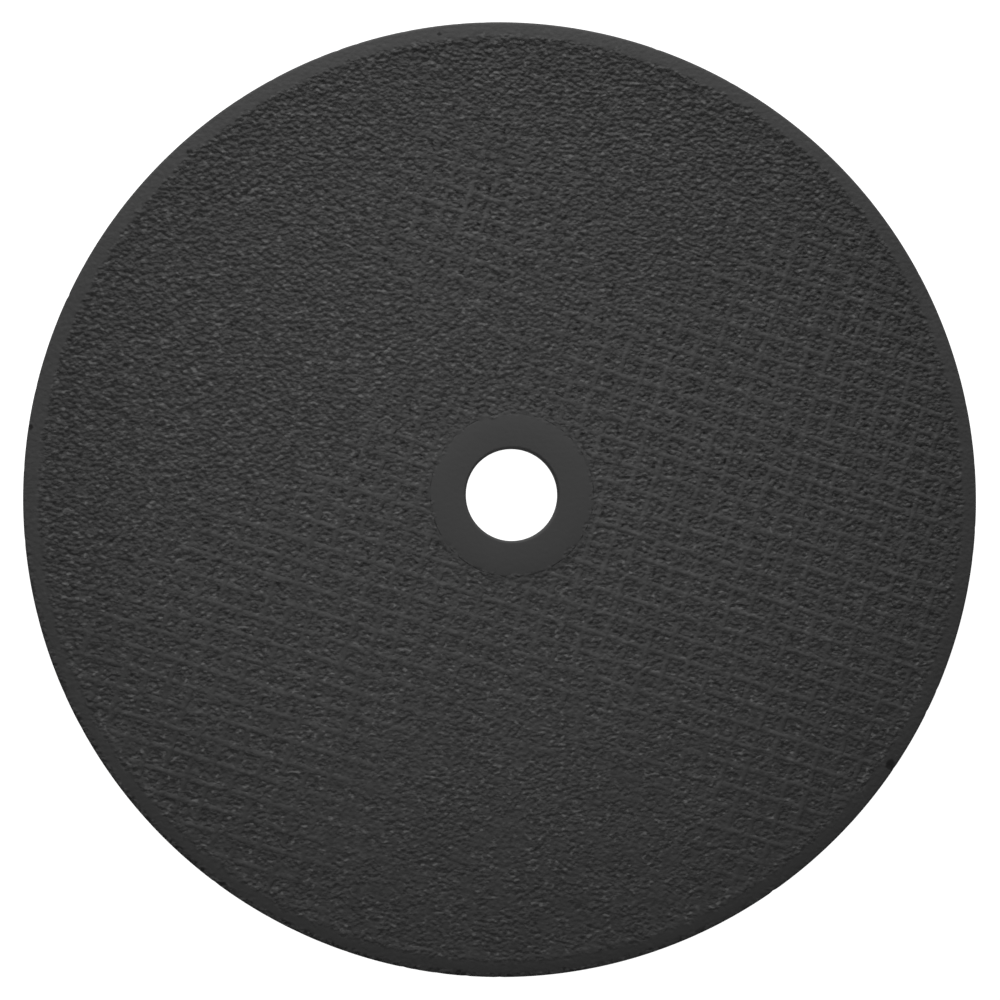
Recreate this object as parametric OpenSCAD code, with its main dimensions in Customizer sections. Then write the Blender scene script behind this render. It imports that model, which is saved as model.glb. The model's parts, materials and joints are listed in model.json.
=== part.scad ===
// Cut off wheel: a thin resin bonded abrasive disc with a pressed steel ring round its bore.
// The wheel lies on its plain back, with its axis on +Z and the origin in the middle of the back face.

/* [Wheel] */
// Outside diameter of the wheel
wheel_d = 230; // [125:1:300]
// Thickness from the back face to the top of the arbor ring
wheel_t = 3; // [2.4:0.1:4]

/* [Rim] */
// Width of the smooth border round each face
rim_w = 3.9; // [2:0.1:8]
// Fall of the border from the face to the cutting edge
rim_drop = 0.6; // [0.3:0.05:0.8]
// Radius of the border's convex section
rim_crown_r = 50; // [20:1:120]
// Break on the corners of the cutting edge
edge_break = 0.25; // [0.05:0.05:0.3]

/* [Glass mesh] */
// Spacing of the threads that cross the wheel from side to side
warp_pitch = 5.3; // [4:0.1:9]
// Spacing of the threads that run the other way
weft_pitch = 5.1; // [4:0.1:9]
// Turn of the mesh about the wheel's axis
mesh_turn = -17.7; // [-45:0.1:45]
// Height of the threads over the middle of the cells between them
mesh_relief = 0.25; // [0.1:0.05:0.3]
// Depth of the thread crests below the border and the arbor ring
mesh_recess = 0.1; // [0.05:0.01:0.15]

/* [Arbor ring] */
// Diameter of the bore that takes the spindle
bore_d = 22.23; // [16:0.01:25.4]
// Outside diameter of the ring's flange
ring_d = 39.6; // [34:0.1:60]
// Thickness of the sheet that the ring is pressed from
ring_sheet = 0.5; // [0.5:0.05:0.7]
// Inside radius of the bend between flange and collar
ring_bend_r = 0.2; // [0.2:0.05:0.6]
// Radius on the outer edge of the flange
ring_edge_r = 0.35; // [0.1:0.05:0.45]
// Distance from the back face to the end of the collar
collar_lift = 0.2; // [0:0.05:0.5]
// Clearance round the flange and the collar in their seat
ring_gap = 0.05; // [0.02:0.01:0.2]

/* [Hidden] */
$fn = 180;

// How far each cut runs past the face that it opens
cut_over = 1;

wheel_r = wheel_d / 2;
field_r = wheel_r - rim_w;

// The border's section is an arc from the face to the cutting edge, turned as a few short cones
border_steps = 4;
border_w = rim_w - edge_break;
border_fall = atan2(rim_drop, border_w);
crown_half = asin(norm([border_w, rim_drop]) / 2 / rim_crown_r);
crown_x = field_r - rim_crown_r * sin(border_fall - crown_half);
crown_z = wheel_t - rim_crown_r * cos(border_fall - crown_half);

// The mesh covers the field inside the border
warp_half_count = ceil(field_r / warp_pitch) + 1;
weft_half_count = ceil(field_r / weft_pitch) + 1;
mesh_reach = field_r + cut_over;
field_depth = mesh_recess + mesh_relief;

// The ring and its seat share these radii and heights
bore_r = bore_d / 2;
ring_r = ring_d / 2;
mouth_r = ring_bend_r + ring_sheet;
flange_z = wheel_t - ring_sheet;
bend_x = bore_r + mouth_r;
bend_z = wheel_t - mouth_r;
hole_r = bore_r + ring_sheet + ring_gap;
seat_r = ring_r + ring_gap;
seat_chamfer = ring_bend_r + ring_gap;

// Points of the convex border, from the face out to the broken corner of the cutting edge
function border_points() = [
    for (i = [0 : border_steps])
        let (slope = border_fall + crown_half * (2 * i / border_steps - 1))
            [crown_x + rim_crown_r * sin(slope), crown_z + rim_crown_r * cos(slope)]
];

// The same points on the back of the wheel, in the other order
function mirrored_to_back(points) = [
    for (i = [len(points) - 1 : -1 : 0])
        [points[i].x, wheel_t - points[i].y]
];

// Half section of the moulded blank before its face is pressed
module blank_profile() {
    front = concat(border_points(), [[wheel_r, wheel_t - rim_drop - edge_break]]);
    polygon(concat([[0, 0], [0, wheel_t]], front, mirrored_to_back(front)));
}

// Saw tooth section of one set of threads: a crest on each thread, a valley half way to the next
function thread_section(pitch, half_count) = concat(
    [[-half_count * pitch, -cut_over]],
    [for (i = [-half_count : half_count]) each [
        [i * pitch, mesh_relief],
        [(i + 0.5) * pitch, 0]
    ]],
    [[(half_count + 0.5) * pitch, -cut_over]]
);

// One set of parallel threads along Y, as a ridged sheet with its valleys at z = 0
module thread_sheet(pitch, half_count) {
    rotate([90, 0, 0])
        linear_extrude(2 * mesh_reach, center = true)
            polygon(thread_section(pitch, half_count));
}

// The two sets of threads cross, so each cell between them is a shallow four sided pit
module glass_mesh() {
    rotate(mesh_turn) {
        thread_sheet(warp_pitch, warp_half_count);
        rotate(90) thread_sheet(weft_pitch, weft_half_count);
    }
}

// The pressed field of the front face: a shallow recess in which the mesh stands
module woven_recess() {
    translate([0, 0, wheel_t - field_depth])
        difference() {
            cylinder(r = field_r, h = field_depth + cut_over);
            glass_mesh();
        }
}

// The stepped hole that holds the arbor ring, with its corner eased for the ring's bend
module ring_seat() {
    rotate_extrude()
        polygon([
            [0, -cut_over],
            [hole_r, -cut_over],
            [hole_r, flange_z - seat_chamfer],
            [hole_r + seat_chamfer, flange_z],
            [seat_r, flange_z],
            [seat_r, wheel_t + cut_over],
            [0, wheel_t + cut_over]
        ]);
}

// Quarter of a round, with its centre at the origin
module quarter_round(radius) {
    intersection() {
        square(radius);
        circle(r = radius);
    }
}

// Flat flange of the ring, with its outer edge rounded towards the front
module flange_profile() {
    edge_x = ring_r - ring_edge_r;
    translate([bend_x, flange_z])
        square([edge_x - bend_x, ring_sheet]);
    translate([edge_x, flange_z])
        square([ring_edge_r, ring_sheet - ring_edge_r]);
    translate([edge_x, wheel_t - ring_edge_r])
        quarter_round(ring_edge_r);
}

// Quarter bend that turns the flange down into the bore
module bend_profile() {
    intersection() {
        translate([bore_r, bend_z]) square(mouth_r);
        translate([bend_x, bend_z])
            difference() {
                circle(r = mouth_r);
                circle(r = ring_bend_r);
            }
    }
}

// Straight collar that lines the bore
module collar_profile() {
    translate([bore_r, collar_lift])
        square([ring_sheet, bend_z - collar_lift]);
}

// Abrasive grain in resin, moulded as one disc with the glass mesh showing in its front
module abrasive_disc() {
    color("#3b3b3b")
        difference() {
            rotate_extrude() blank_profile();
            woven_recess();
            ring_seat();
        }
}

// Steel ring pressed from one sheet and seated in the front of the disc
module arbor_ring() {
    color("#444444")
        rotate_extrude() {
            flange_profile();
            bend_profile();
            collar_profile();
        }
}

abrasive_disc();
arbor_ring();
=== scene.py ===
"""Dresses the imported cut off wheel: an abrasive disc with glass mesh in its face, and a steel ring."""

import json
import math

import bmesh
import bpy
import numpy as np
from mathutils import Matrix, Vector
from mathutils.geometry import delaunay_2d_cdt


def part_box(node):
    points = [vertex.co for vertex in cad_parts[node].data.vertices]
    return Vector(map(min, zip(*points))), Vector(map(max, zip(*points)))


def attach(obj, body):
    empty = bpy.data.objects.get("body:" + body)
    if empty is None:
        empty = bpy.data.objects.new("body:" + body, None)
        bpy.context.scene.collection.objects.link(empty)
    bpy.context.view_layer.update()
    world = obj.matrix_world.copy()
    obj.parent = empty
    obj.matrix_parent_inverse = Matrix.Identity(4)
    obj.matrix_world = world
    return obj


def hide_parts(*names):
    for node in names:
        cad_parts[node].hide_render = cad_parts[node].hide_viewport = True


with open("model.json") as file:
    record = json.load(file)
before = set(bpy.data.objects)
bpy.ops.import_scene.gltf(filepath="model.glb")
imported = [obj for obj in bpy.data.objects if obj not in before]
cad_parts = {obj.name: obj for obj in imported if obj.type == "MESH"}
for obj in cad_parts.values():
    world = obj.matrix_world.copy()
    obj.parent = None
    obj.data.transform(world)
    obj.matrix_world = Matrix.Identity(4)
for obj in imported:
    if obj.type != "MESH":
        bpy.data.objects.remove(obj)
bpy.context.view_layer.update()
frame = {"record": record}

MM = 0.001

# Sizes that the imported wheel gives
_, DISC_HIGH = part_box("abrasive_disc")
RING_LOW, RING_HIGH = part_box("arbor_ring")
MOUNTS = {mount["name"]: mount for mount in frame["record"]["mounts"]}
WHEEL_R = DISC_HIGH.x
WHEEL_T = DISC_HIGH.z
RING_R = RING_HIGH.x
COLLAR_END = RING_LOW.z
BORE_R = MOUNTS["bore"]["dims"]["r_mm"] * MM

# Smooth border round each face
RIM_W = 3.9 * MM
RIM_DROP = 0.6 * MM
RIM_CROWN_R = 50 * MM
EDGE_BREAK = 0.25 * MM
FIELD_R = WHEEL_R - RIM_W

# Glass mesh that shows in the front
WARP_PITCH = 5.3 * MM
WEFT_PITCH = 5.1 * MM
MESH_TURN = math.radians(-17.7)
MESH_RECESS = 0.1 * MM
THREAD_HALF_W = 0.75 * MM
CELL_DEPTH = 0.1 * MM
OVER_UNDER = 0.35
THREAD_WANDER = 0.6 * MM
WANDER_LENGTH = 14 * MM
THREAD_FRAY = 0.5 * MM
FRAY_LENGTH = 1.8 * MM
CREST_Z = WHEEL_T - MESH_RECESS

# The resin hides the mesh towards the upper left, apart from one worn patch, and at the middle of the bottom
BARE_TOWARDS = (0.454, -0.891, 0.0)
BARE_FROM = -41 * MM
BARE_TO = -13 * MM
WORN_AT = (-10 * MM, 67 * MM, WHEEL_T)
WORN_R = 44 * MM
WORN_SHOW = 1.0
# Painted sheen on the columns in the worn patch
WORN_SHEEN = 1.5
BOTTOM_AT = (0.0, -100 * MM, WHEEL_T)
BOTTOM_SHOW = 0.12
BOTTOM_REACH = (25 * MM, 75 * MM)
BLOT_RANGE = (0.3, 0.6)
BLOT_LEAST = 0.85
LUMP_FLATTEN = 0.7

# Painted sheen: the columns of threads are painted lighter towards the upper right
COLUMN_SHEEN_RIGHT = (-40 * MM, 20 * MM)
COLUMN_SHEEN_UP = (-65 * MM, 0.0)
COLUMN_SHEEN_LEAST = 0.25

# Steel ring, pressed from sheet
RING_SHEET = 0.5 * MM
RING_BEND_R = 0.2 * MM
RING_EDGE_R = 0.35 * MM
RING_GAP = 0.05 * MM
FLANGE_Z = WHEEL_T - RING_SHEET
HOLE_R = BORE_R + RING_SHEET + RING_GAP
SEAT_R = RING_R + RING_GAP
SEAT_CHAMFER = RING_BEND_R + RING_GAP

# The bond banks up to the border and to the ring, and creeps unevenly over the edge of the ring's flange
BANK_W = 1.4 * MM
LIP_H = 0.006 * MM
LIP_LIFT = 0.002 * MM
CREEP = 0.15 * MM
CREEP_LEAN = 0.08 * MM
CREEP_TOWARDS = math.radians(110)
CREEP_WANDER = 0.3 * MM
CREEP_LEAST = 0.02 * MM
CREEP_MOST = 0.8 * MM

# The step from the field to the border is uneven too, and the bank to the border ends clear of it
RIM_WANDER = 0.2 * MM
STEP_SPREADS = 3
BANK_EDGE_R = FIELD_R - STEP_SPREADS * RIM_WANDER

# Chips in the corners of the cutting edge
EDGE_CHIP = 0.12 * MM

# Uneven lines round the axis: the waves in each, their range of counts round the wheel, and their seeds
WAVE_COUNT = 24
RIM_WAVES = (50, 260)
RIM_SEED = 3
CREEP_WAVES = (4, 60)
CREEP_SEED = 8
CHIP_WAVES = (90, 340)
CHIP_SEED = 5

# Dents in the front border: turn about the axis in degrees, distance in from the edge, and radius
NICKS = (
    (99.0, 2.2 * MM, 0.7 * MM),
    (133.4, 3.0 * MM, 1.0 * MM),
    (172.1, 0.5 * MM, 0.9 * MM),
    (263.6, 0.9 * MM, 0.9 * MM),
    (324.6, 1.5 * MM, 1.6 * MM),
)
NICK_DEPTH = 0.18 * MM

# How finely the pieces are cut
RIM_SIDES = 720
SEAT_SIDES = 288
RING_SIDES = 192
BORDER_STEPS = 8
BORDER_FIRST_STEP = 2
MOUTH_STEPS = 10
BEND_STEPS = 5
THREAD_LINES = (-0.75 * MM, -0.25 * MM, 0.25 * MM, 0.75 * MM)
CELL_SHARES = (0.38, 0.62)
BACK_SHARES = (0.0, 0.25, 0.5, 0.75)
LINE_CLEARANCE = 0.35 * MM
RELIEF_EASE = 0.8 * MM
BANK_RINGS = (0.0, 0.25, 0.5, 0.75, 1.0)
CUT_PRECISION = 1e-9
MERGE_DISTANCE = 0.002 * MM
SHARP_ANGLE = math.radians(50)
NO_RELIEF = 0.0

# Camera of the photograph, over the front face
VIEW_DISTANCE = 287.5 * MM
VIEW_TILT = math.radians(4.05)
VIEW_TURN = math.radians(21.2)
VIEW_AIM = (-2.96 * MM, -1.28 * MM)
LENS = 43.14
SENSOR = 36.0
CLIP_START = 10 * MM


# Helpers for node trees

NOISE_MIDDLE = 0.5


def add_node(tree, kind, inputs=None, **settings):
    """Adds a node, sets its options, and fills its inputs with values or with other nodes' outputs."""
    node = tree.nodes.new(kind)
    for name, value in settings.items():
        setattr(node, name, value)
    for key, value in (inputs or {}).items():
        fill(tree, node.inputs[key], value)
    return node


def fill(tree, socket, value):
    """Links an output to a socket, or sets the socket to a plain value."""
    if isinstance(value, bpy.types.NodeSocket):
        tree.links.new(value, socket)
    else:
        socket.default_value = value


def calc(tree, operation, *values):
    """One step of arithmetic on numbers."""
    node = add_node(tree, "ShaderNodeMath", operation=operation)
    for socket, value in zip(node.inputs, values):
        fill(tree, socket, value)
    return node.outputs[0]


def product(tree, first, *others):
    """Numbers multiplied together."""
    result = first
    for value in others:
        result = calc(tree, "MULTIPLY", result, value)
    return result


def lessened(tree, mask, share):
    """A factor of 1, less a share of a mask."""
    return calc(tree, "MULTIPLY_ADD", mask, -share, 1.0)


def ramp(tree, value, start, end, low=0.0, high=1.0, smooth=True):
    """Maps a number from one range to another, held at the ends."""
    kind = "SMOOTHSTEP" if smooth else "LINEAR"
    inputs = {"Value": value, "From Min": start, "From Max": end, "To Min": low, "To Max": high}
    return add_node(tree, "ShaderNodeMapRange", inputs, interpolation_type=kind).outputs["Result"]


def noise(tree, place, scale, detail=0.0, roughness=0.5, seed=None):
    """Soft noise from 0 to 1, at so many lumps a metre."""
    inputs = {"Vector": place, "Scale": scale, "Detail": detail, "Roughness": roughness}
    if seed is not None:
        inputs["W"] = seed
    kind = "3D" if seed is None else "4D"
    return add_node(tree, "ShaderNodeTexNoise", inputs, noise_dimensions=kind).outputs[0]


def vector_calc(tree, operation, first, second):
    """One step of arithmetic on two vectors, or on a vector and a number for its scale."""
    node = add_node(tree, "ShaderNodeVectorMath", operation=operation)
    fill(tree, node.inputs[0], first)
    fill(tree, node.inputs["Scale" if operation == "SCALE" else 1], second)
    return node.outputs["Value" if operation in ("DOT_PRODUCT", "DISTANCE") else "Vector"]


def vector_noise(tree, place, size, reach):
    """A soft random shift of up to about half the reach each way."""
    inputs = {"Vector": place, "Detail": 1.0, "Scale": calc(tree, "DIVIDE", 1.0, size)}
    random = add_node(tree, "ShaderNodeTexNoise", inputs)
    centred = vector_calc(tree, "SUBTRACT", random.outputs["Color"], (NOISE_MIDDLE,) * 3)
    return vector_calc(tree, "SCALE", centred, reach)


def split(tree, vector):
    """The three numbers of a vector, by name."""
    return add_node(tree, "ShaderNodeSeparateXYZ", {0: vector}).outputs


def add_inputs(tree, names):
    """Gives a tree its named number inputs."""
    for name in names:
        tree.interface.new_socket(name, in_out="INPUT", socket_type="NodeSocketFloat")


def grey(level):
    """A neutral colour."""
    return (level, level, level, 1.0)


# Helpers for meshes

def around(count):
    """Even angles round the axis."""
    return np.arange(count) * (2 * math.pi / count)


def circle(radius, count):
    """Points of a circle, or of a loop with a radius for each point, in order, in the plane of the face."""
    turn = around(count)
    return np.column_stack((radius * np.cos(turn), radius * np.sin(turn)))


def at_height(points, height):
    """Points of a face at one height, or at a height for each."""
    return np.column_stack((points, np.broadcast_to(height, len(points))))


def wander(count, reach, waves, seed):
    """An uneven line round the axis, about as high as its reach, made of a few waves with seeded phases."""
    chance = np.random.default_rng(seed)
    numbers = chance.integers(waves[0], waves[1], WAVE_COUNT)
    phases = chance.uniform(0.0, 2 * math.pi, WAVE_COUNT)
    return reach * np.cos(np.outer(around(count), numbers) + phases).sum(axis=1) / math.sqrt(WAVE_COUNT)


def eased(share):
    """A share from 0 to 1 with soft ends."""
    held = np.clip(share, 0.0, 1.0)
    return held * held * (3.0 - 2.0 * held)


def loop_pairs(first, count):
    """The edges of a closed loop of vertices."""
    return [(first + i, first + (i + 1) % count) for i in range(count)]


def joined_loops(loops):
    """Vertices of loops of equal count, and the quads between each loop and the next."""
    count = len(loops[0])
    quads = []
    for k in range(len(loops) - 1):
        for i, j in loop_pairs(0, count):
            quads.append((k * count + i, k * count + j, (k + 1) * count + j, (k + 1) * count + i))
    return np.vstack(loops), quads


def turned_loops(profile, sides):
    """One loop about the axis for each (radius, height) point of a profile."""
    return [at_height(circle(radius, sides), height) for radius, height in profile]


def arc(centre, radius, start, end, steps):
    """Points of a profile's arc, with angles in degrees from the outward radius."""
    angles = np.radians(np.linspace(start, end, steps + 1))
    return [(centre[0] + radius * math.cos(a), centre[1] + radius * math.sin(a)) for a in angles]


def lattice_lines(reach, pitch, offsets):
    """Places of the cutting lines across one set of threads."""
    count = math.ceil(reach / pitch) + 1
    return np.array([i * pitch + offset for i in range(-count, count + 1) for offset in offsets])


def lattice_points(inner, outer, across, along):
    """Crossings of two sets of lines, turned with the mesh, that lie clear of both edges of the field."""
    grid_x, grid_y = np.meshgrid(across, along)
    x, y = grid_x.ravel(), grid_y.ravel()
    cos_turn, sin_turn = math.cos(MESH_TURN), math.sin(MESH_TURN)
    turned = np.column_stack((x * cos_turn - y * sin_turn, x * sin_turn + y * cos_turn))
    radius = np.hypot(turned[:, 0], turned[:, 1])
    return turned[(radius > inner + LINE_CLEARANCE) & (radius < outer - LINE_CLEARANCE)]


def field_sheet(rim, seat, inside):
    """A flat ring of triangles between two loops, cut through the points inside it."""
    flat = [Vector(point) for point in np.vstack((rim, seat, inside))]
    edges = loop_pairs(0, RIM_SIDES) + loop_pairs(RIM_SIDES, SEAT_SIDES)
    points, _, faces, sources, _, _ = delaunay_2d_cdt(flat, edges, [], 0, CUT_PRECISION)
    on_seat = [bool(s) and RIM_SIDES <= s[0] < RIM_SIDES + SEAT_SIDES for s in sources]
    triangles = [tuple(f) for f in faces if not all(on_seat[i] for i in f)]
    return np.array([p[:] for p in points]), triangles


def reach_of_relief(points, inner, outer):
    """How much of the relief each point of a field takes: none at the edges, all of it further in."""
    radius = np.hypot(points[:, 0], points[:, 1])
    return np.clip(np.minimum(radius - inner, outer - radius) / RELIEF_EASE, 0.0, 1.0)


def new_piece(name, parts):
    """Joins parts of (vertices, faces, relief) into one closed object."""
    vertices, faces, relief = [], [], []
    for part_vertices, part_faces, part_relief in parts:
        first = sum(len(v) for v in vertices)
        vertices.append(part_vertices)
        relief.append(np.broadcast_to(part_relief, len(part_vertices)))
        faces.extend(tuple(first + i for i in face) for face in part_faces)
    mesh = bpy.data.meshes.new(name)
    mesh.from_pydata(np.vstack(vertices).tolist(), [], faces)
    mesh.attributes.new("relief", "FLOAT", "POINT").data.foreach_set("value", np.concatenate(relief))
    close_seams(mesh)
    piece = bpy.data.objects.new(name, mesh)
    bpy.context.scene.collection.objects.link(piece)
    return piece


def close_seams(mesh):
    """Merges the vertices that parts share and points every face outwards."""
    work = bmesh.new()
    work.from_mesh(mesh)
    bmesh.ops.remove_doubles(work, verts=work.verts, dist=MERGE_DISTANCE)
    bmesh.ops.recalc_face_normals(work, faces=work.faces)
    work.to_mesh(mesh)
    work.free()


def shade(mesh):
    """Smooth faces with crisp corners."""
    mesh.shade_smooth()
    mesh.set_sharp_from_angle(angle=SHARP_ANGLE)


def make_plain(piece):
    """Turns what the piece's nodes make into its own mesh."""
    graph = bpy.context.evaluated_depsgraph_get()
    mesh = bpy.data.meshes.new_from_object(piece.evaluated_get(graph), depsgraph=graph)
    piece.modifiers.clear()
    piece.data = mesh
    mesh.name = piece.name
    shade(mesh)


# Blank of the abrasive disc

BORDER_W = RIM_W - EDGE_BREAK
BORDER_FALL = math.atan2(RIM_DROP, BORDER_W)
CROWN_HALF = math.asin(math.hypot(BORDER_W, RIM_DROP) / 2 / RIM_CROWN_R)
CROWN_X = FIELD_R - RIM_CROWN_R * math.sin(BORDER_FALL - CROWN_HALF)
CROWN_Z = WHEEL_T - RIM_CROWN_R * math.cos(BORDER_FALL - CROWN_HALF)


def border_height(radius):
    """Height of the convex border of the front at a radius, and of the level face inside it."""
    beside_crown = np.maximum(radius - CROWN_X, 0.0)
    crown = CROWN_Z + np.sqrt(RIM_CROWN_R ** 2 - beside_crown ** 2)
    return np.minimum(crown, WHEEL_T)


def border_loops():
    """Loops of the front border outside its uneven step, out to the chipped corner of the cutting edge."""
    radii = np.linspace(FIELD_R, WHEEL_R - EDGE_BREAK, BORDER_STEPS + 1)[BORDER_FIRST_STEP:]
    loops = [at_height(circle(r, RIM_SIDES), border_height(r)) for r in radii]
    chips = np.maximum(wander(RIM_SIDES, EDGE_CHIP, CHIP_WAVES, CHIP_SEED) - EDGE_CHIP, 0.0)
    return loops + [at_height(circle(WHEEL_R - chips, RIM_SIDES), WHEEL_T - RIM_DROP - EDGE_BREAK)]


def bank_height(points):
    """Height of the front field: level with the thread crests, and banked up to the ring and the border."""
    radius = np.hypot(points[:, 0], points[:, 1])
    to_ring = eased(1.0 - (radius - RING_R + CREEP) / BANK_W)
    to_border = eased(1.0 - (BANK_EDGE_R - radius) / BANK_W)
    banked = CREST_Z + (MESH_RECESS + LIP_H) * to_ring + MESH_RECESS * to_border
    return np.where(radius > FIELD_R, border_height(radius), banked)


def uneven_step():
    """The loop where the field meets the border."""
    return circle(FIELD_R + wander(RIM_SIDES, RIM_WANDER, RIM_WAVES, RIM_SEED), RIM_SIDES)


def creeping_lip():
    """The loop where the bond ends on the ring's flange."""
    lean = CREEP_LEAN * np.cos(around(SEAT_SIDES) - CREEP_TOWARDS)
    creep = CREEP + lean + wander(SEAT_SIDES, CREEP_WANDER, CREEP_WAVES, CREEP_SEED)
    return circle(RING_R - np.clip(creep, CREEP_LEAST, CREEP_MOST), SEAT_SIDES)


def thread_lines(pitch):
    """Cutting lines along one set of threads and across the cells between them."""
    cell_lines = tuple(share * pitch for share in CELL_SHARES)
    return lattice_lines(FIELD_R, pitch, THREAD_LINES + cell_lines)


def front_field(rim, lip):
    """The pressed field of the front, from the uneven step at the border in to the lip over the ring."""
    ring_bank = [circle(RING_R + step * BANK_W, SEAT_SIDES) for step in BANK_RINGS]
    rim_bank = [circle(BANK_EDGE_R - step * BANK_W, RIM_SIDES) for step in BANK_RINGS]
    warp, weft = thread_lines(WARP_PITCH), thread_lines(WEFT_PITCH)
    inside = lattice_points(RING_R + BANK_W, BANK_EDGE_R - BANK_W, warp, weft)
    points, faces = field_sheet(rim, lip, np.vstack(ring_bank + rim_bank + [inside]))
    reach = reach_of_relief(points, RING_R + BANK_W / 2, BANK_EDGE_R - BANK_W / 2)
    return at_height(points, bank_height(points)), faces, reach


def back_field():
    """The plain back, cut evenly."""
    warp = lattice_lines(FIELD_R, WARP_PITCH, [share * WARP_PITCH for share in BACK_SHARES])
    weft = lattice_lines(FIELD_R, WEFT_PITCH, [share * WEFT_PITCH for share in BACK_SHARES])
    inside = lattice_points(HOLE_R, FIELD_R, warp, weft)
    points, faces = field_sheet(circle(FIELD_R, RIM_SIDES), circle(HOLE_R, SEAT_SIDES), inside)
    return at_height(points, 0.0), faces, -reach_of_relief(points, HOLE_R, FIELD_R)


def nick_middle(turn, inward):
    """Middle of a dent, on the surface of the front border."""
    radius = WHEEL_R - inward
    angle = math.radians(turn)
    return radius * math.cos(angle), radius * math.sin(angle), float(border_height(radius))


def dented(loop):
    """A loop of the border with the dents pressed into it."""
    depth = np.zeros(len(loop))
    for turn, inward, radius in NICKS:
        distance = np.linalg.norm(loop - nick_middle(turn, inward), axis=1)
        depth = np.maximum(depth, NICK_DEPTH * eased(1.0 - distance / radius))
    return loop - np.column_stack((np.zeros((len(loop), 2)), depth))


def edge_wall(rim):
    """The border from the uneven edge of the field, the cutting edge and the border of the back."""
    step = at_height(rim, border_height(np.hypot(rim[:, 0], rim[:, 1])))
    front = [step] + [dented(loop) for loop in border_loops()]
    back = [loop * (1.0, 1.0, -1.0) + (0.0, 0.0, WHEEL_T) for loop in reversed(border_loops())]
    inner_back = at_height(circle(FIELD_R, RIM_SIDES), 0.0)
    return *joined_loops(front + back + [inner_back]), NO_RELIEF


def seat_wall(lip):
    """The lip's thin edge, its underside on the ring, and the stepped hole down to the back."""
    profile = [
        (SEAT_R, WHEEL_T + LIP_LIFT),
        (SEAT_R, FLANGE_Z),
        (HOLE_R + SEAT_CHAMFER, FLANGE_Z),
        (HOLE_R, FLANGE_Z - SEAT_CHAMFER),
        (HOLE_R, 0.0),
    ]
    edge = [at_height(lip, bank_height(lip)), at_height(lip, WHEEL_T + LIP_LIFT)]
    return *joined_loops(edge + turned_loops(profile, SEAT_SIDES)), NO_RELIEF


def disc_blank():
    """The moulded disc with smooth faces, cut finely enough along the mesh to take its relief."""
    rim, lip = uneven_step(), creeping_lip()
    return new_piece("abrasive_face", [front_field(rim, lip), back_field(), edge_wall(rim), seat_wall(lip)])


# Relief of the abrasive disc

MESH_INPUTS = {
    "Warp Pitch": WARP_PITCH,
    "Weft Pitch": WEFT_PITCH,
    "Mesh Turn": MESH_TURN,
    "Thread Half Width": THREAD_HALF_W,
    "Over And Under": OVER_UNDER,
    "Thread Wander": THREAD_WANDER,
    "Wander Length": WANDER_LENGTH,
    "Thread Fray": THREAD_FRAY,
    "Fray Length": FRAY_LENGTH,
}

RELIEF_INPUTS = {
    **MESH_INPUTS,
    "Cell Depth": CELL_DEPTH,
    "Bare From": BARE_FROM,
    "Bare To": BARE_TO,
    "Worn Show": WORN_SHOW,
    "Worn Radius": WORN_R,
    "Bottom Show": BOTTOM_SHOW,
    "Patch Size": 24 * MM,
    "Patch Reach": 40 * MM,
    "Blot Size": 7 * MM,
    "Lump Size": 2.6 * MM,
    "Lump Height": 0.04 * MM,
    "Seed": 4.0,
}


def thread_shape(tree, given, across, along, pitch, other_pitch, side):
    """Height of one set of threads, from 0 to 1: a round back that rises and dips along the thread."""
    count = calc(tree, "DIVIDE", across, pitch)
    nearest = calc(tree, "ROUND", count)
    off = calc(tree, "MULTIPLY", calc(tree, "SUBTRACT", count, nearest), pitch)
    share = calc(tree, "DIVIDE", off, given["Thread Half Width"])
    back = calc(tree, "MAXIMUM", calc(tree, "SUBTRACT", 1.0, calc(tree, "MULTIPLY", share, share)), 0.0)
    phase = calc(tree, "ADD", nearest, calc(tree, "DIVIDE", along, other_pitch))
    wave = calc(tree, "COSINE", calc(tree, "MULTIPLY", phase, math.pi))
    lowered = calc(tree, "MULTIPLY_ADD", wave, side, 1.0)
    dip = calc(tree, "MULTIPLY", lowered, calc(tree, "MULTIPLY", given["Over And Under"], 0.5))
    return calc(tree, "MULTIPLY", back, calc(tree, "SUBTRACT", 1.0, dip))


def crossed_threads(tree, given, place):
    """Heights of the columns and the rows of threads at a point. Any kind of tree can hold this."""
    drift = vector_noise(tree, place, given["Wander Length"], given["Thread Wander"])
    fray = vector_noise(tree, place, given["Fray Length"], given["Thread Fray"])
    moved = vector_calc(tree, "ADD", place, vector_calc(tree, "ADD", drift, fray))
    inputs = {"Vector": moved, "Angle": calc(tree, "MULTIPLY", given["Mesh Turn"], -1.0)}
    turned = add_node(tree, "ShaderNodeVectorRotate", inputs, rotation_type="Z_AXIS")
    sides = split(tree, turned.outputs[0])
    warp, weft = given["Warp Pitch"], given["Weft Pitch"]
    columns = thread_shape(tree, given, sides["X"], sides["Y"], warp, weft, 1.0)
    rows = thread_shape(tree, given, sides["Y"], sides["X"], weft, warp, -1.0)
    return columns, rows


def seeded_noise(tree, given, place, size, detail=1.0):
    """Soft noise with lumps of one of the tree's sizes, from the tree's seed."""
    scale = calc(tree, "DIVIDE", 1.0, given[size])
    return noise(tree, place, scale, detail, seed=given["Seed"])


def worn_patch(tree, given, place):
    """The patch above the ring where the resin is worn down to the mesh."""
    distance = vector_calc(tree, "DISTANCE", place, WORN_AT)
    return ramp(tree, distance, given["Worn Radius"], 0.0, 0.0, given["Worn Show"])


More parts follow.
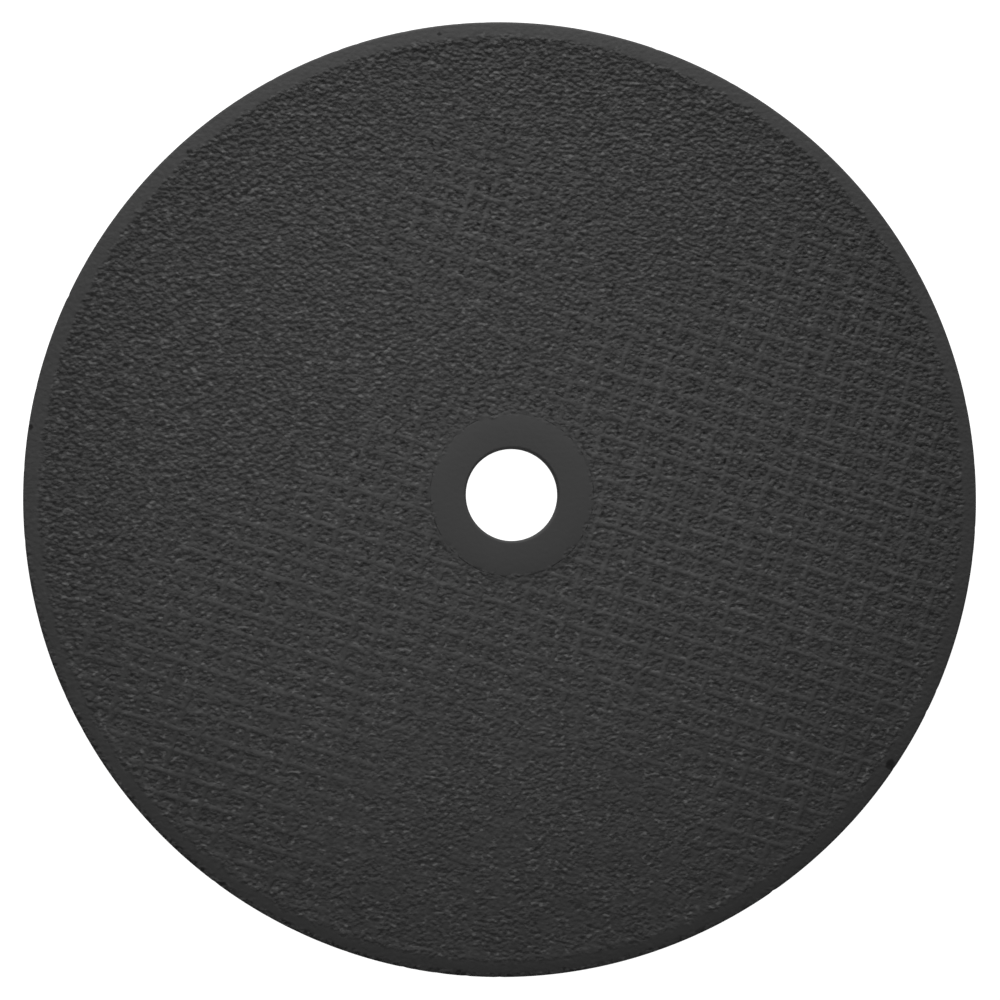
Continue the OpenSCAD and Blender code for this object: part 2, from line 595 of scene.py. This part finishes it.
def mesh_show(tree, given, place, worn):
    """How far the mesh stands out of the resin: patchy, and faint at the middle of the bottom."""
    reach = vector_calc(tree, "DOT_PRODUCT", place, BARE_TOWARDS)
    patches = calc(tree, "SUBTRACT", seeded_noise(tree, given, place, "Patch Size"), NOISE_MIDDLE)
    spread = calc(tree, "MULTIPLY", patches, given["Patch Reach"])
    bare = ramp(tree, calc(tree, "ADD", reach, spread), given["Bare From"], given["Bare To"])
    from_bottom = vector_calc(tree, "DISTANCE", place, BOTTOM_AT)
    open_bottom = ramp(tree, from_bottom, *BOTTOM_REACH, given["Bottom Show"], 1.0)
    blotted = ramp(tree, seeded_noise(tree, given, place, "Blot Size"), *BLOT_RANGE, BLOT_LEAST, 1.0)
    shown = calc(tree, "MAXIMUM", bare, worn)
    return calc(tree, "MULTIPLY", shown, calc(tree, "MULTIPLY", open_bottom, blotted))


def column_sheen_reach(tree, place, worn):
    """How much painted sheen the columns take: towards the upper right and in the worn patch."""
    sides = split(tree, place)
    right = ramp(tree, sides["X"], *COLUMN_SHEEN_RIGHT, COLUMN_SHEEN_LEAST, 1.0)
    up = ramp(tree, sides["Y"], *COLUMN_SHEEN_UP, COLUMN_SHEEN_LEAST, 1.0)
    return calc(tree, "MAXIMUM", calc(tree, "MULTIPLY", right, up), calc(tree, "MULTIPLY", worn, WORN_SHEEN))


def relief_depth(tree, given, place, threads, show):
    """Depth below the crests: the cells between bared threads, and lumps that the threads flatten."""
    cells = calc(tree, "MULTIPLY", calc(tree, "SUBTRACT", 1.0, threads), show)
    lumps = seeded_noise(tree, given, place, "Lump Size", detail=0.5)
    flattened = lessened(tree, calc(tree, "MULTIPLY", threads, show), LUMP_FLATTEN)
    lump_depth = product(tree, given["Lump Height"], flattened, lumps)
    return calc(tree, "MULTIPLY_ADD", cells, given["Cell Depth"], lump_depth)


def store_number(tree, geometry, name, value):
    """Keeps a number on each vertex for the material to read."""
    inputs = {"Geometry": geometry, "Name": name, "Value": value}
    settings = {"data_type": "FLOAT", "domain": "POINT"}
    return add_node(tree, "GeometryNodeStoreNamedAttribute", inputs, **settings).outputs[0]


def stored_relief(tree):
    """The share of the relief that each vertex of the blank takes, below 0 on the back."""
    node = add_node(tree, "GeometryNodeInputNamedAttribute", {"Name": "relief"}, data_type="FLOAT")
    return node.outputs[0]


def relief_tree():
    """Nodes that press the glass mesh, the resin's fill and the coarse grain into the disc's faces."""
    tree = bpy.data.node_groups.new("pressed_relief", "GeometryNodeTree")
    tree.interface.new_socket("Geometry", in_out="INPUT", socket_type="NodeSocketGeometry")
    add_inputs(tree, RELIEF_INPUTS)
    tree.interface.new_socket("Material", in_out="INPUT", socket_type="NodeSocketMaterial")
    tree.interface.new_socket("Geometry", in_out="OUTPUT", socket_type="NodeSocketGeometry")
    given = add_node(tree, "NodeGroupInput").outputs
    place = add_node(tree, "GeometryNodeInputPosition").outputs[0]
    reach = stored_relief(tree)
    worn = worn_patch(tree, given, place)
    show = mesh_show(tree, given, place, worn)
    threads = calc(tree, "MAXIMUM", *crossed_threads(tree, given, place))
    inwards = product(tree, relief_depth(tree, given, place, threads, show), reach, -1.0)
    offset = add_node(tree, "ShaderNodeCombineXYZ", {"Z": inwards}).outputs[0]
    moved = add_node(tree, "GeometryNodeSetPosition", {"Geometry": given["Geometry"], "Offset": offset})
    front = calc(tree, "MAXIMUM", reach, 0.0)
    marked = store_number(tree, moved.outputs[0], "bare", calc(tree, "MULTIPLY", show, front))
    # Where the columns take painted sheen, kept for the material
    marked = store_number(tree, marked, "painted_column_sheen", column_sheen_reach(tree, place, worn))
    whole = add_node(tree, "GeometryNodeRealizeInstances", {"Geometry": marked}).outputs[0]
    dressed = add_node(tree, "GeometryNodeSetMaterial", {"Geometry": whole, "Material": given["Material"]})
    tree.links.new(dressed.outputs[0], add_node(tree, "NodeGroupOutput").inputs["Geometry"])
    return tree


def make_disc(material):
    """The abrasive disc, with its relief worked out by nodes and kept as a plain mesh."""
    piece = disc_blank()
    tree = relief_tree()
    modifier = piece.modifiers.new("Relief", "NODES")
    modifier.node_group = tree
    values = dict(RELIEF_INPUTS, Material=material)
    for item in tree.interface.items_tree:
        if item.in_out == "INPUT" and item.name in values:
            modifier[item.identifier] = values[item.name]
    make_plain(piece)
    return piece


# Arbor ring

def ring_profile():
    """Section of the pressed ring: up the bore, over the mouth, out along the flange and back beneath."""
    mouth_r = RING_BEND_R + RING_SHEET
    bend = (BORE_R + mouth_r, WHEEL_T - mouth_r)
    edge = (RING_R - RING_EDGE_R, WHEEL_T - RING_EDGE_R)
    flange_middle = ((bend[0] + edge[0]) / 2, WHEEL_T)
    outer_collar = BORE_R + RING_SHEET
    return (
        [(BORE_R, COLLAR_END)]
        + arc(bend, mouth_r, 180, 90, MOUTH_STEPS)
        + [flange_middle]
        + arc(edge, RING_EDGE_R, 90, 0, BEND_STEPS)
        + [(RING_R, FLANGE_Z)]
        + arc(bend, RING_BEND_R, 90, 180, BEND_STEPS)
        + [(outer_collar, COLLAR_END), (BORE_R, COLLAR_END)]
    )


def make_ring(material):
    """The steel ring, turned from its section."""
    vertices, faces = joined_loops(turned_loops(ring_profile(), RING_SIDES))
    piece = new_piece("pressed_ring", [(vertices, faces, NO_RELIEF)])
    piece.data.materials.append(material)
    shade(piece.data)
    return piece


# Shared effects of the materials

GRAIN_DRAW = (0.85, 1.0, 1.0)
GRAIN_APART = 0.35
MEAN_CELL_DISTANCE = 0.5
FINE_SIZE = 0.78
FINE_DEPTH = 0.72
# Specks, painted as glints and as shade in pits
SPECK_DRAW = (0.7, 1.1, 1.0)
SPECK_COUNT = 1.2
GLINT_RANGE = (0.6, 0.78)
PIT_RANGE = (0.4, 0.22)
CLOUD_SIZE = 3.2 * MM
RAGGED_SIZE = 3 * MM


def group_tree(name, inputs, outputs):
    """A shader group with its named number inputs and outputs."""
    tree = bpy.data.node_groups.new(name, "ShaderNodeTree")
    add_inputs(tree, inputs)
    for output in outputs:
        tree.interface.new_socket(output, in_out="OUTPUT", socket_type="NodeSocketFloat")
    return tree, add_node(tree, "NodeGroupInput").outputs


def give_results(tree, results):
    """Links a group's results to its outputs."""
    put = add_node(tree, "NodeGroupOutput").inputs
    for name, value in results.items():
        tree.links.new(value, put[name])


def object_place(tree):
    """A point's place in the wheel's own frame."""
    return add_node(tree, "ShaderNodeTexCoord").outputs["Object"]


def coarse_grain(tree, drawn, lumps):
    """Height of the coarse grain about its middle: soft lumps, partly separate grains."""
    soft = calc(tree, "SUBTRACT", noise(tree, drawn, lumps, detail=0.8), NOISE_MIDDLE)
    cells = add_node(tree, "ShaderNodeTexVoronoi", {"Vector": drawn, "Scale": lumps}).outputs["Distance"]
    separate = calc(tree, "SUBTRACT", MEAN_CELL_DISTANCE, cells)
    return calc(tree, "MULTIPLY_ADD", separate, GRAIN_APART, calc(tree, "MULTIPLY", soft, 1.0 - GRAIN_APART))


def fine_grain(tree, drawn, lumps):
    """Height of the fine grain about its middle."""
    soft = noise(tree, drawn, calc(tree, "DIVIDE", lumps, FINE_SIZE), detail=0.5)
    return calc(tree, "MULTIPLY", calc(tree, "SUBTRACT", soft, NOISE_MIDDLE), FINE_DEPTH)


def grit_group():
    """Shared effect: grain under a skin of resin, as heights, painted glints, painted shade in pits, clouds
    and a slow mottle.
    """
    outputs = ("Height", "Fine Height", "Glint", "Pit", "Cloud", "Mottle")
    tree, given = group_tree("grit", ("Grain Size", "Mottle Size"), outputs)
    place = object_place(tree)
    lumps = calc(tree, "DIVIDE", 1.0, given["Grain Size"])
    drawn = vector_calc(tree, "MULTIPLY", place, GRAIN_DRAW)
    speck_place = vector_calc(tree, "MULTIPLY", place, SPECK_DRAW)
    specks = noise(tree, speck_place, calc(tree, "MULTIPLY", lumps, SPECK_COUNT))
    mottles = calc(tree, "DIVIDE", 1.0, given["Mottle Size"])
    give_results(tree, {
        "Height": coarse_grain(tree, drawn, lumps),
        "Fine Height": fine_grain(tree, drawn, lumps),
        "Glint": ramp(tree, specks, *GLINT_RANGE),
        "Pit": ramp(tree, specks, *PIT_RANGE),
        "Cloud": noise(tree, place, 1 / CLOUD_SIZE, detail=1.0),
        "Mottle": noise(tree, place, mottles, detail=3.0, roughness=0.55),
    })
    return tree


def mesh_group():
    """Shared effect: the same threads as in the relief, drawn finely."""
    tree, given = group_tree("woven_mesh", MESH_INPUTS, ("Columns", "Rows"))
    columns, rows = crossed_threads(tree, given, object_place(tree))
    give_results(tree, {"Columns": columns, "Rows": rows})
    return tree


def place_group(tree, group, values):
    """Places a shared effect in a material with its own sizes."""
    node = add_node(tree, "ShaderNodeGroup", node_tree=group)
    for name, value in values.items():
        node.inputs[name].default_value = value
    return node.outputs


def new_material(name):
    """A material with only its shader and its output."""
    material = bpy.data.materials.new(name)
    material.use_nodes = True
    tree = material.node_tree
    tree.nodes.clear()
    shader = add_node(tree, "ShaderNodeBsdfPrincipled")
    output = add_node(tree, "ShaderNodeOutputMaterial", {"Surface": shader.outputs[0]})
    output.is_active_output = True
    return material, tree, shader


def read_number(tree, name):
    """A number that the mesh keeps on its vertices."""
    return add_node(tree, "ShaderNodeAttribute", attribute_name=name).outputs["Fac"]


def axis_distance(tree, place):
    """Distance from the wheel's axis."""
    flat = vector_calc(tree, "MULTIPLY", place, (1.0, 1.0, 0.0))
    return vector_calc(tree, "DISTANCE", flat, (0.0, 0.0, 0.0))


def uneven_distance(tree, place, reach):
    """Distance from the axis, made ragged by up to so much."""
    ragged = noise(tree, place, 1 / RAGGED_SIZE, detail=1.0)
    shift = calc(tree, "MULTIPLY_ADD", ragged, 2 * reach, -reach)
    return calc(tree, "ADD", axis_distance(tree, place), shift)


def set_bump(tree, shader, height):
    """Gives a shader the slopes of a height in metres."""
    bump = add_node(tree, "ShaderNodeBump", {"Strength": 1.0, "Distance": 1.0, "Height": height})
    tree.links.new(bump.outputs[0], shader.inputs["Normal"])


# Material of the abrasive disc

# The grain: its size and depth, and how it fades down the face, by the ring and on the border
GRAIN_SIZE = 1.05 * MM
GRAIN_DEPTH = 1.2 * MM
GRAIN_MOST = 0.92
GRAIN_MOST_UP = 0.5
GRAIN_FADE = 0.16
GRAIN_RAGGED = 1.6 * MM
GRAIN_BORDER = (FIELD_R - 0.7 * MM, FIELD_R + 0.7 * MM)
GRAIN_RING = (RING_R - 0.3 * MM, RING_R + 0.9 * MM)
BORDER_GRAIN = 0.15
FINE_REACH = (-0.85 * WHEEL_R, -0.1 * WHEEL_R)
FINE_LEAST = 0.05
FINE_MOST = 0.5

# Patches where resin fills the grain
FILL_SIZE = 4 * MM
FILL_RANGE = (0.5, 0.62)
FILL_REACH = (-0.9 * WHEEL_R, 0.2 * WHEEL_R)
FILL_LEAST = 0.15
FILL_MOST = 0.6

# The threads: their ridge, how they flatten the grain, where they break and their painted sheen
THREAD_RIDGE = 0.13 * MM
THREAD_FLATTEN = 0.65
THREAD_TOP = 0.5
BREAK_SIZE = 3 * MM
BREAK_RANGE = (0.32, 0.6)
BREAK_LEAST = 0.4
ROW_SHEEN = 0.28
COLUMN_SHEEN = 0.3

# Tones of the bond
BOND_GREY = 0.0322
BOND_MOTTLE = 18 * MM
BOND_ROUGHNESS = (0.72, 0.86)
BOND_SPECULAR = 0.1
# Painted sheen on the border
BORDER_SHEEN = 0.11
BORDER_TONE = (FIELD_R - 0.5 * MM, FIELD_R + 0.5 * MM)
CLOUD_RANGE = (0.2, 0.8)
CLOUD_REACH = 0.14
MOTTLE_RANGE = (0.3, 0.7)
MOTTLE_TONES = (0.92, 1.08)
DARK_FROM = 0.72 * WHEEL_R
DARK_EDGE = 0.925
# Painted glints, and painted shade in pits, deeper in the cells between the threads
GLINT_GREY = 0.036
PIT_SHADE = 0.52
CELL_PIT_SHADE = 0.35

# The lower face takes painted shade, with lighter painted glints and softer painted shade in pits
LOW_REACH = (0.1 * WHEEL_R, -0.7 * WHEEL_R)
LOW_GLINTS = 0.35
LOW_PITS = 0.4
LOW_SHADE = 0.035

# The cutting edge is chipped towards the lower left, with painted shade in the chips and in the dents
EDGE_GRAIN_W = 1.7 * MM
EDGE_RAGGED = 0.8 * MM
EDGE_SHADE = 0.8
EDGE_GRAIN = 0.6
CHIP_SIZE = 1.3 * MM
CHIP_RANGE = (0.48, 0.62)
CHIPPED_TOWARDS = (-0.423, -0.906, 0.0)
CHIPPED_REACH = (0.3 * WHEEL_R, 0.9 * WHEEL_R)
NICK_SHADE = 0.75
NICK_RAGGED = 1.0 * MM


def edge_band(tree, place):
    """A ragged band along the cutting edge, only towards the lower left."""
    edge = uneven_distance(tree, place, EDGE_RAGGED)
    band = ramp(tree, edge, WHEEL_R - EDGE_GRAIN_W, WHEEL_R - EDGE_GRAIN_W / 4)
    towards = vector_calc(tree, "DOT_PRODUCT", place, CHIPPED_TOWARDS)
    return calc(tree, "MULTIPLY", band, ramp(tree, towards, *CHIPPED_REACH))


def chip_shade(tree, place):
    """Painted shade of the chips in the ragged band along the cutting edge."""
    spots = ramp(tree, noise(tree, place, 1 / CHIP_SIZE, detail=1.0), *CHIP_RANGE)
    return calc(tree, "MULTIPLY", edge_band(tree, place), spots)


def dent_shade(tree, place):
    """Where the border is dented, from 0 to 1, for the painted shade in the dents."""
    ragged = vector_calc(tree, "ADD", place, vector_noise(tree, place, NICK_RAGGED, NICK_RAGGED))
    marks = 0.0
    for turn, inward, radius in NICKS:
        distance = vector_calc(tree, "DISTANCE", ragged, nick_middle(turn, inward))
        marks = calc(tree, "MAXIMUM", marks, ramp(tree, distance, radius, radius / 2))
    return marks


def left_open(tree, place):
    """How far the resin leaves the grain open: it fills patches of it, more of them towards the bottom."""
    patches = ramp(tree, noise(tree, place, 1 / FILL_SIZE, detail=1.0), *FILL_RANGE)
    share = ramp(tree, split(tree, place)["Y"], *FILL_REACH, FILL_MOST, FILL_LEAST)
    return calc(tree, "SUBTRACT", 1.0, calc(tree, "MULTIPLY", patches, share))


def lower_face(tree, place, change):
    """A factor that is 1 on the upper face and changes by so much on the lower face."""
    return ramp(tree, split(tree, place)["Y"], *LOW_REACH, 1.0, 1.0 + change)


def grain_reach(tree, place):
    """How much of the grain shows: most above the middle, little by the ring and on the border."""
    edge = uneven_distance(tree, place, GRAIN_RAGGED)
    to_border = ramp(tree, edge, *GRAIN_BORDER, 1.0, BORDER_GRAIN)
    to_ring = ramp(tree, edge, *GRAIN_RING, BORDER_GRAIN, 1.0)
    inside = calc(tree, "MULTIPLY", to_border, to_ring)
    outside = calc(tree, "MULTIPLY", edge_band(tree, place), EDGE_GRAIN)
    height = calc(tree, "DIVIDE", split(tree, place)["Y"], WHEEL_R)
    off = calc(tree, "SUBTRACT", height, GRAIN_MOST_UP)
    faded = calc(tree, "MULTIPLY_ADD", calc(tree, "MULTIPLY", off, off), -GRAIN_FADE, GRAIN_MOST)
    open_grain = calc(tree, "MULTIPLY", faded, left_open(tree, place))
    return calc(tree, "MULTIPLY_ADD", inside, open_grain, outside)


def grain_height(tree, place, grit):
    """Height of the grain: coarse and fine together, with more of the fine along the bottom."""
    share = ramp(tree, split(tree, place)["Y"], *FINE_REACH, FINE_MOST, FINE_LEAST)
    coarse_share = calc(tree, "SQRT", calc(tree, "SUBTRACT", 1.0, share))
    coarse = calc(tree, "MULTIPLY", grit["Height"], coarse_share)
    return calc(tree, "MULTIPLY_ADD", grit["Fine Height"], calc(tree, "SQRT", share), coarse)


def bared_threads(tree, place, mesh_tree, bare):
    """Heights of the columns and the rows as far as the resin bares them, with breaks along them."""
    mesh = place_group(tree, mesh_tree, MESH_INPUTS)
    whole = noise(tree, place, 1 / BREAK_SIZE, detail=1.0)
    shown = calc(tree, "MULTIPLY", bare, ramp(tree, whole, *BREAK_RANGE, BREAK_LEAST, 1.0))
    return calc(tree, "MULTIPLY", mesh["Columns"], shown), calc(tree, "MULTIPLY", mesh["Rows"], shown)


def thread_sheen(tree, columns, rows):
    """Painted sheen on the threads: the rows everywhere, the columns towards the upper right and in the worn
    patch.
    """
    painted_column_sheen = calc(tree, "MULTIPLY", columns, read_number(tree, "painted_column_sheen"))
    row_sheen = calc(tree, "MULTIPLY_ADD", rows, ROW_SHEEN, 1.0)
    return calc(tree, "MULTIPLY_ADD", painted_column_sheen, COLUMN_SHEEN, row_sheen)


def face_and_border(tree, place, grit):
    """Light and dark in clouds over the face, which darkens outwards, and the even tone of the border,
    lifted by a painted sheen.
    """
    clouds = ramp(tree, grit["Cloud"], *CLOUD_RANGE, 1.0 - CLOUD_REACH, 1.0 + CLOUD_REACH, smooth=False)
    outwards = axis_distance(tree, place)
    face = calc(tree, "MULTIPLY", clouds, ramp(tree, outwards, DARK_FROM, FIELD_R, 1.0, DARK_EDGE))
    border = ramp(tree, outwards, *BORDER_TONE)
    return add_node(tree, "ShaderNodeMix", {0: border, 2: face, 3: 1.0 + BORDER_SHEEN}).outputs[0]


def bond_tone(tree, place, grit, depth, cell):
    """Light and dark of the bond: face and border, a slow mottle with painted shade over the lower face, and
    painted shade in pits, chips and dents.
    """
    mottle = ramp(tree, grit["Mottle"], *MOTTLE_RANGE, *MOTTLE_TONES)
    # A slow random mottle, with painted shade over the lower face
    slow = calc(tree, "MULTIPLY", mottle, lower_face(tree, place, -LOW_SHADE))
    # Painted shade in pits, deeper in the cells between the threads and softer on the lower face
    pit_shade = calc(tree, "MULTIPLY_ADD", cell, CELL_PIT_SHADE, PIT_SHADE)
    pit_depth = calc(tree, "MULTIPLY", depth, lower_face(tree, place, -LOW_PITS))
    pitted = calc(tree, "SUBTRACT", 1.0, product(tree, grit["Pit"], pit_depth, pit_shade))
    # Painted shade in the chips along the lower left of the cutting edge and in the dents
    chipped = lessened(tree, chip_shade(tree, place), EDGE_SHADE)
    nicked = lessened(tree, dent_shade(tree, place), NICK_SHADE)
    return product(tree, face_and_border(tree, place, grit), slow, pitted, chipped, nicked)


def bonded_grain(grit_tree, mesh_tree):
    """Dark resin over abrasive grain: rough between the threads, smoother on them, smooth on the border."""
    material, tree, shader = new_material("bonded_grain")
    place = object_place(tree)
    grit = place_group(tree, grit_tree, {"Grain Size": GRAIN_SIZE, "Mottle Size": BOND_MOTTLE})
    bare = read_number(tree, "bare")
    columns, rows = bared_threads(tree, place, mesh_tree, bare)
    ridge = calc(tree, "MAXIMUM", columns, rows)
    on_thread = ramp(tree, ridge, 0.0, THREAD_TOP)
    depth = calc(tree, "MULTIPLY", grain_reach(tree, place), lessened(tree, on_thread, THREAD_FLATTEN))
    grain = product(tree, grain_height(tree, place, grit), depth, GRAIN_DEPTH)
    set_bump(tree, shader, calc(tree, "MULTIPLY_ADD", ridge, THREAD_RIDGE, grain))
    cell = calc(tree, "MAXIMUM", calc(tree, "SUBTRACT", bare, on_thread), 0.0)
    tone = product(tree, bond_tone(tree, place, grit, depth, cell), thread_sheen(tree, columns, rows))
    # Painted glints: lighter specks, more of them on the lower face
    glint_grey = calc(tree, "MULTIPLY", lower_face(tree, place, LOW_GLINTS), GLINT_GREY)
    glints = product(tree, grit["Glint"], depth, glint_grey)
    tree.links.new(calc(tree, "MULTIPLY_ADD", tone, BOND_GREY, glints), shader.inputs["Base Color"])
    roughness = ramp(tree, grit["Mottle"], *MOTTLE_RANGE, *BOND_ROUGHNESS)
    tree.links.new(roughness, shader.inputs["Roughness"])
    shader.inputs["Specular IOR Level"].default_value = BOND_SPECULAR
    return material


# Material of the ring

STEEL_MOTTLE = 7 * MM
STEEL_GREYS = (0.032, 0.0365)
# Painted light: the coat is lighter towards the top
STEEL_TOP_LIGHT = (0.97, 1.07)
STEEL_ROUGHNESS = (0.7, 0.8)
STEEL_SPECULAR = 0.08
STEEL_GRIT = (RING_R - 0.9 * MM, RING_R + 0.4 * MM)
STEEL_GRIT_SHARES = (0.04, 0.8)


def coated_steel(grit_tree):
    """Satin dark coating with painted light, lighter towards the top, and a little grit caught round the
    ring's outer edge.
    """
    material, tree, shader = new_material("coated_steel")
    grit = place_group(tree, grit_tree, {"Grain Size": GRAIN_SIZE, "Mottle Size": STEEL_MOTTLE})
    place = object_place(tree)
    caught = ramp(tree, uneven_distance(tree, place, GRAIN_RAGGED), *STEEL_GRIT, *STEEL_GRIT_SHARES)
    set_bump(tree, shader, product(tree, grit["Height"], caught, GRAIN_DEPTH))
    coat = ramp(tree, grit["Mottle"], 0.0, 1.0, *STEEL_GREYS, smooth=False)
    painted_top_light = ramp(tree, split(tree, place)["Y"], -RING_R, RING_R, *STEEL_TOP_LIGHT)
    tree.links.new(calc(tree, "MULTIPLY", coat, painted_top_light), shader.inputs["Base Color"])
    roughness = ramp(tree, grit["Mottle"], *MOTTLE_RANGE, *STEEL_ROUGHNESS)
    tree.links.new(roughness, shader.inputs["Roughness"])
    shader.inputs["Specular IOR Level"].default_value = STEEL_SPECULAR
    return material


# Studio

FLOOR_SIDE = 6.0
FLOOR_DROP = 0.05 * MM
FLOOR_GLOW = 0.99
FLOOR_COLOUR = grey(0.25)
FILL_STRENGTH = 0.12

# A low key lamp beyond the top of the picture, and a small lamp over the face
KEY_PLACE = (-0.03, 1.4, 0.35)
KEY_TARGET = (0.0, 0.0, 0.0)
KEY_SIDE = 0.35
KEY_WATTS = 36.0
OVERHEAD_PLACE = (-0.026, 0.008, 0.45)
OVERHEAD_TARGET = (-0.026, 0.008, 0.0)
OVERHEAD_SIDE = 0.1
OVERHEAD_WATTS = 0.18
OVERHEAD_SPREAD = 70


def seen_directly(tree):
    """1 for what the camera, a reflection or a clear material sees, 0 for what only lights the object."""
    path = add_node(tree, "ShaderNodeLightPath").outputs
    mirrored = calc(tree, "MAXIMUM", path["Is Glossy Ray"], path["Is Transmission Ray"])
    return calc(tree, "MAXIMUM", path["Is Camera Ray"], mirrored)


def floor_material():
    """White to look at, and it still takes the wheel's shadow."""
    material = bpy.data.materials.new("studio_floor")
    material.use_nodes = True
    tree = material.node_tree
    tree.nodes.clear()
    matt = add_node(tree, "ShaderNodeBsdfDiffuse", {"Color": FLOOR_COLOUR})
    strength = calc(tree, "MULTIPLY", seen_directly(tree), FLOOR_GLOW)
    glow = add_node(tree, "ShaderNodeEmission", {"Strength": strength})
    both = add_node(tree, "ShaderNodeAddShader", {0: matt.outputs[0], 1: glow.outputs[0]})
    add_node(tree, "ShaderNodeOutputMaterial", {"Surface": both.outputs[0]})
    return material


def make_floor():
    """Plain floor under the wheel."""
    half = FLOOR_SIDE / 2
    mesh = bpy.data.meshes.new("studio_floor")
    corners = [(-half, -half), (half, -half), (half, half), (-half, half)]
    mesh.from_pydata([(x, y, -FLOOR_DROP) for x, y in corners], [], [(0, 1, 2, 3)])
    mesh.materials.append(floor_material())
    floor = bpy.data.objects.new("studio_floor", mesh)
    bpy.context.scene.collection.objects.link(floor)


def make_world():
    """White surroundings to look at, and a soft even fill for the light."""
    world = bpy.data.worlds.new("studio")
    world.use_nodes = True
    tree = world.node_tree
    tree.nodes.clear()
    seen = ramp(tree, seen_directly(tree), 0.0, 1.0, FILL_STRENGTH, 1.0, smooth=False)
    shell = add_node(tree, "ShaderNodeBackground", {"Color": grey(1.0), "Strength": seen})
    add_node(tree, "ShaderNodeOutputWorld", {"Surface": shell.outputs[0]})
    bpy.context.scene.world = world


def make_lamp(name, place, target, side, watts, spread=180):
    """A soft square lamp that faces a point, with its light held within so many degrees."""
    data = bpy.data.lights.new(name, "AREA")
    data.shape = "SQUARE"
    data.size = side
    data.energy = watts
    data.spread = math.radians(spread)
    lamp = bpy.data.objects.new(name, data)
    lamp.location = place
    lamp.rotation_euler = (Vector(target) - Vector(place)).to_track_quat("-Z", "Y").to_euler()
    bpy.context.scene.collection.objects.link(lamp)


def make_camera():
    """The photograph's view: straight over the face, leaning a little to the lower left."""
    data = bpy.data.cameras.new("photo_camera")
    data.sensor_width = SENSOR
    data.lens = LENS
    data.clip_start = CLIP_START
    camera = bpy.data.objects.new("photo_camera", data)
    lean = math.sin(VIEW_TILT) * VIEW_DISTANCE
    rise = math.cos(VIEW_TILT) * VIEW_DISTANCE
    aim = Vector((VIEW_AIM[0], VIEW_AIM[1], WHEEL_T))
    place = aim + Vector((-lean * math.cos(VIEW_TURN), -lean * math.sin(VIEW_TURN), rise))
    back = (place - aim).normalized()
    right = Vector((0.0, 1.0, 0.0)).cross(back).normalized()
    up = back.cross(right)
    camera.matrix_world = Matrix.Translation(place) @ Matrix((right, up, back)).transposed().to_4x4()
    bpy.context.scene.collection.objects.link(camera)
    bpy.context.scene.camera = camera


def make_studio():
    """Floor, surroundings, lamps and camera."""
    make_floor()
    make_world()
    make_lamp("key_from_top", KEY_PLACE, KEY_TARGET, KEY_SIDE, KEY_WATTS)
    make_lamp("overhead", OVERHEAD_PLACE, OVERHEAD_TARGET, OVERHEAD_SIDE, OVERHEAD_WATTS, OVERHEAD_SPREAD)
    make_camera()
    bpy.context.scene.view_settings.view_transform = "Standard"


# The finished wheel

grit_tree = grit_group()
disc = make_disc(bonded_grain(grit_tree, mesh_group()))
ring = make_ring(coated_steel(grit_tree))

for piece, node, slot in ((disc, "abrasive_disc", "abrasive"), (ring, "arbor_ring", "ring")):
    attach(piece, "root")
    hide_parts(node)

make_studio()
